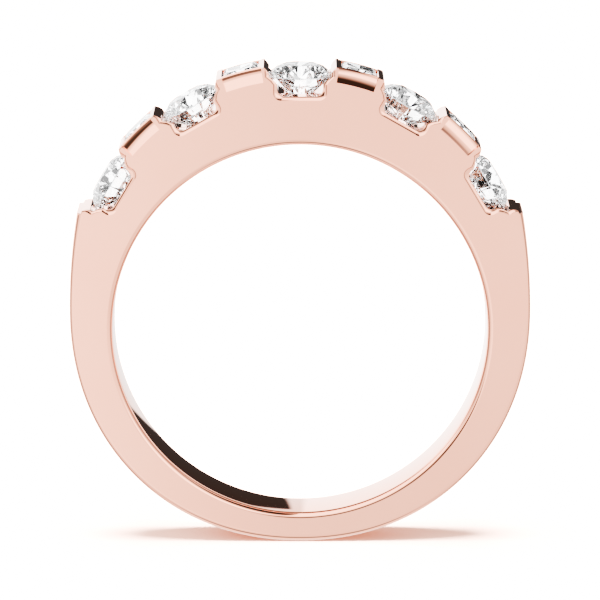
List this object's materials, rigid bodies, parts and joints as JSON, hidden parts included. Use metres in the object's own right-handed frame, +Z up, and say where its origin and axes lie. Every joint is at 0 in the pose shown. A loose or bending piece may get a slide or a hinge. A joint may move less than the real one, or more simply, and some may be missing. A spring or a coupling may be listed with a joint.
{
  "type": "wedding band",
  "caption": "Slim gold finger ring with flat sides and a flared head, where round brilliants in troughs alternate with square stones in raised blocks.",
  "frame": {"origin": "the lowest line of the band's rim, midway across its width, with the ring standing on its rim", "axes": "+X runs across the finger hole, +Y along the finger, +Z up through the centre stone"},
  "size_m": [0.0212, 0.003, 0.0223],
  "materials": {
    "rose_gold": "high polish, pinkish rose gold",
    "diamond": "clear, faceted and polished"
  },
  "bodies": {
    "root": {"band": "rose_gold", "round_diamond_1": "diamond", "round_diamond_2": "diamond", "round_diamond_3": "diamond", "round_diamond_4": "diamond", "round_diamond_5": "diamond", "square_diamond_1": "diamond", "square_diamond_2": "diamond", "square_diamond_3": "diamond", "square_diamond_4": "diamond"}
  },
  "joints": []
}
